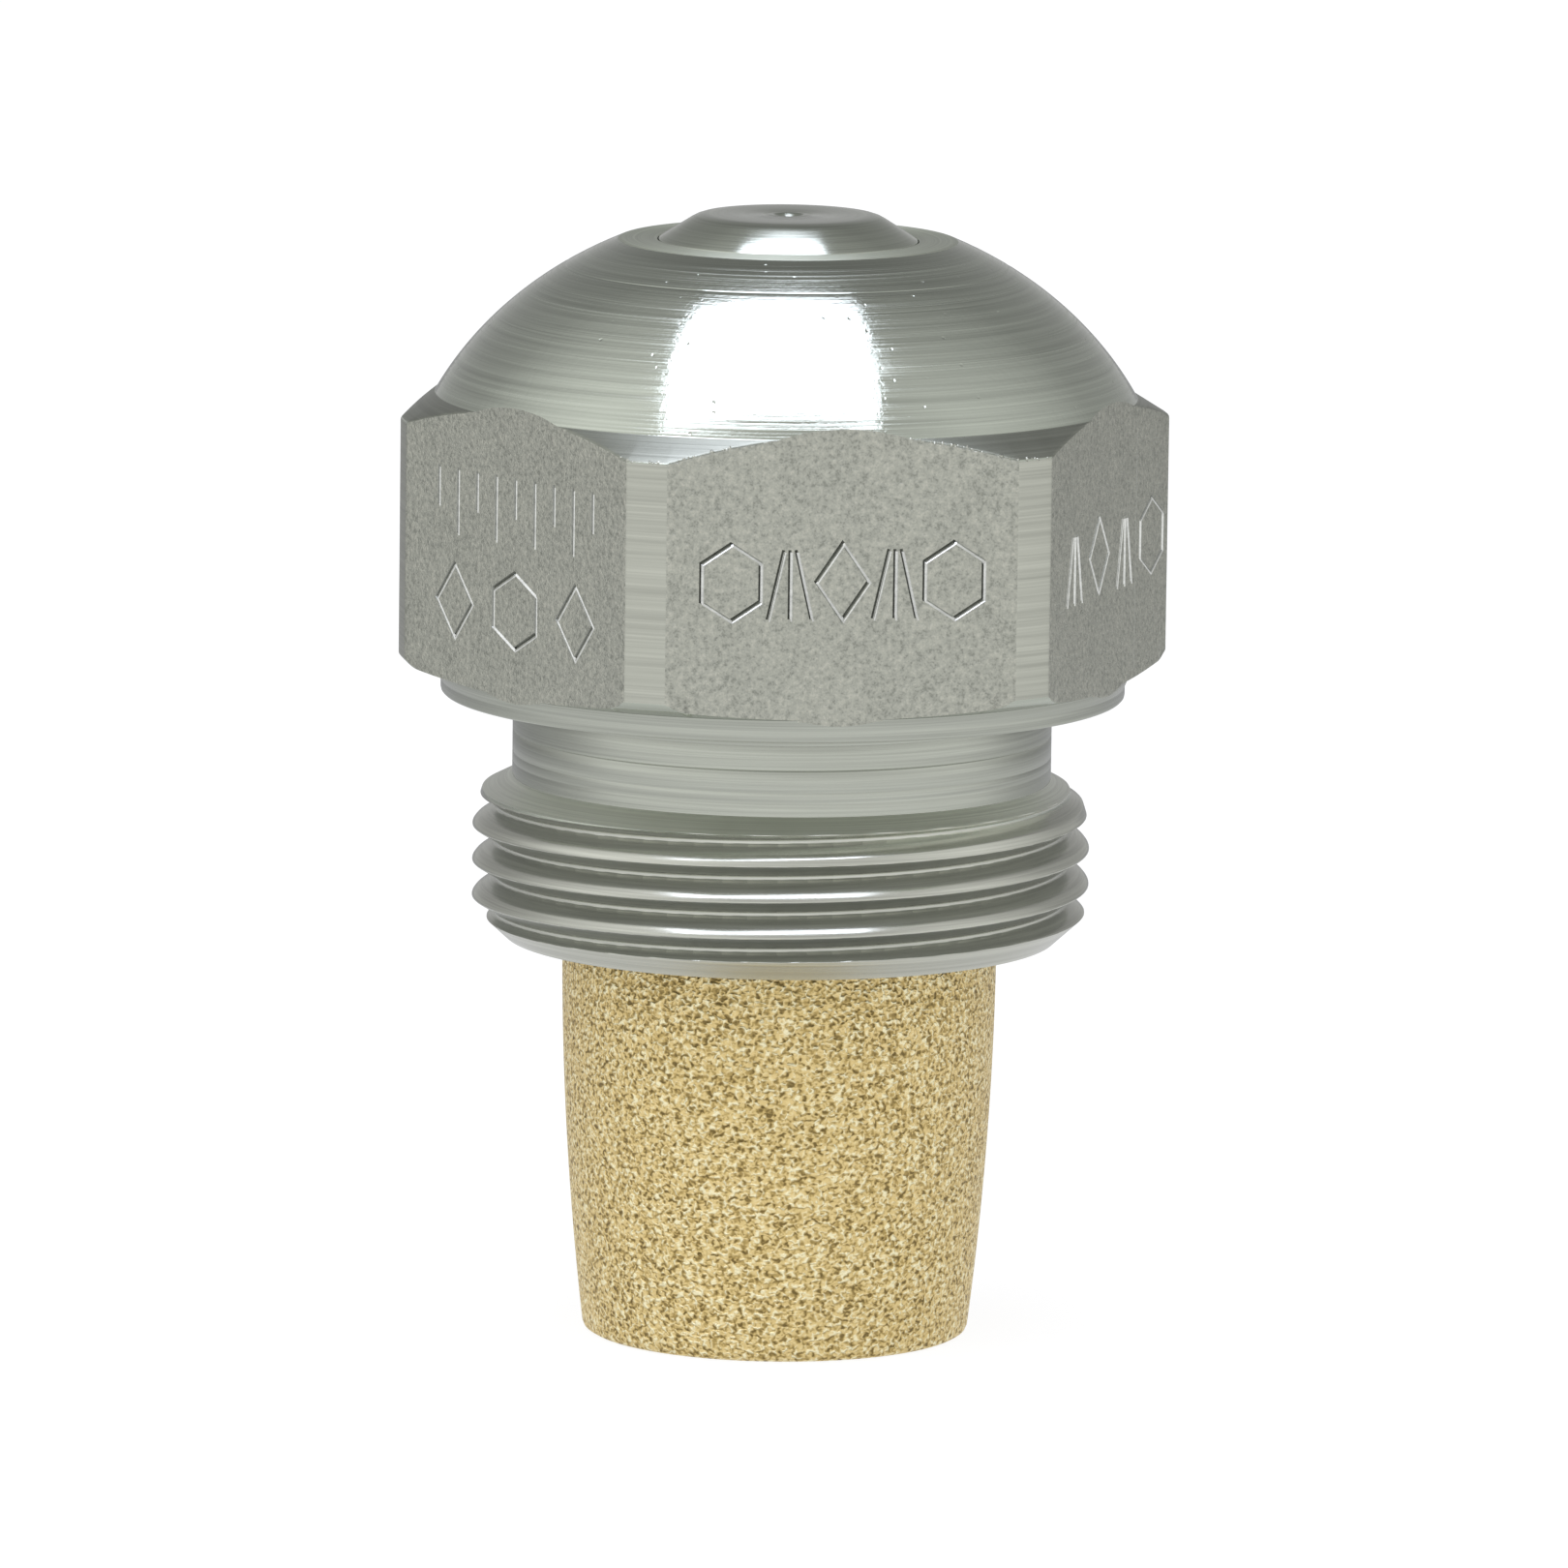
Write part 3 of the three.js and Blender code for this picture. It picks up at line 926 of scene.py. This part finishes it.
def make_softbox():
    """One overhead softbox, its near edge lower than its far edge."""
    half_width, left = 0.118, 0.02
    near_edge, far_edge = (0.119, 0.216), (-0.165, 0.483)  # [towards the camera, height]
    light = bpy.data.lights.new("softbox", "AREA")
    light.shape = "RECTANGLE"
    light.size = 2 * half_width
    light.size_y = math.dist(near_edge, far_edge)
    light.energy = 0.99
    light.color = (0.9, 0.935, 1.14)
    lamp = add_object("softbox", light)
    middle = [(near + far) / 2 for near, far in zip(near_edge, far_edge)]
    tilt = math.atan2(far_edge[1] - near_edge[1], near_edge[0] - far_edge[0])
    turn = Matrix.Rotation(VIEW_AZIMUTH, 4, "Z")
    place = Matrix.Translation((-left, -middle[0], middle[1]))
    lamp.matrix_world = turn @ (place @ Matrix.Rotation(tilt, 4, "X"))


def make_world():
    """Soft surroundings: brightest in front, with lighter sides overhead and a lighter horizon."""
    world = bpy.data.worlds.new("studio")
    bpy.context.scene.world = world
    world.use_nodes = True
    nodes = Nodes(world.node_tree)
    direction = nodes.add("ShaderNodeTexCoord").outputs["Generated"]
    x, _, z = nodes.add("ShaderNodeSeparateXYZ", {0: direction}).outputs
    front = nodes.math("MULTIPLY_ADD", towards_front(nodes, direction), 1.35, 0.8)
    front = nodes.add("ShaderNodeClamp", {0: front}).outputs[0]
    side = nodes.math("MULTIPLY", x, nodes.math("MULTIPLY_ADD", x, 0.9, -0.25))
    low = nodes.math("POWER", nodes.math("SUBTRACT", 1.0, nodes.math("ABSOLUTE", z)), 3.0)
    level = nodes.math("MULTIPLY_ADD", front, 0.47, 0.27)
    level = nodes.math("MULTIPLY_ADD", side, nodes.math("MAXIMUM", z, 0.0), level)
    level = nodes.math("MULTIPLY_ADD", low, 0.26, level)
    background = nodes.add("ShaderNodeBackground", {"Color": level, "Strength": 1.0})
    nodes.add("ShaderNodeOutputWorld", {"Surface": background.outputs[0]})


def make_camera():
    camera = bpy.data.cameras.new("camera")
    camera.sensor_width = 36.0
    camera.lens = 348.0
    camera.clip_start, camera.clip_end = 0.01, 10.0
    viewer = add_object("camera", camera)
    back = Vector(
        (
            math.sin(VIEW_AZIMUTH) * math.cos(VIEW_ELEVATION),
            -math.cos(VIEW_AZIMUTH) * math.cos(VIEW_ELEVATION),
            math.sin(VIEW_ELEVATION),
        )
    )
    right = Vector((math.cos(VIEW_AZIMUTH), math.sin(VIEW_AZIMUTH), 0))
    aim_height, aim_right = 12.75, 0.06
    aim = Vector((0, 0, aim_height * MM)) + right * aim_right * MM
    viewer.rotation_mode = "QUATERNION"
    viewer.location = aim + back * VIEW_DISTANCE
    level = (-back).to_track_quat("-Z", "Y").to_matrix()
    viewer.rotation_quaternion = (level @ Matrix.Rotation(VIEW_ROLL, 3, "Z")).to_quaternion()
    bpy.context.scene.camera = viewer


make_floor()
make_world()
make_softbox()
make_camera()
bpy.context.scene.view_settings.view_transform = "Standard"
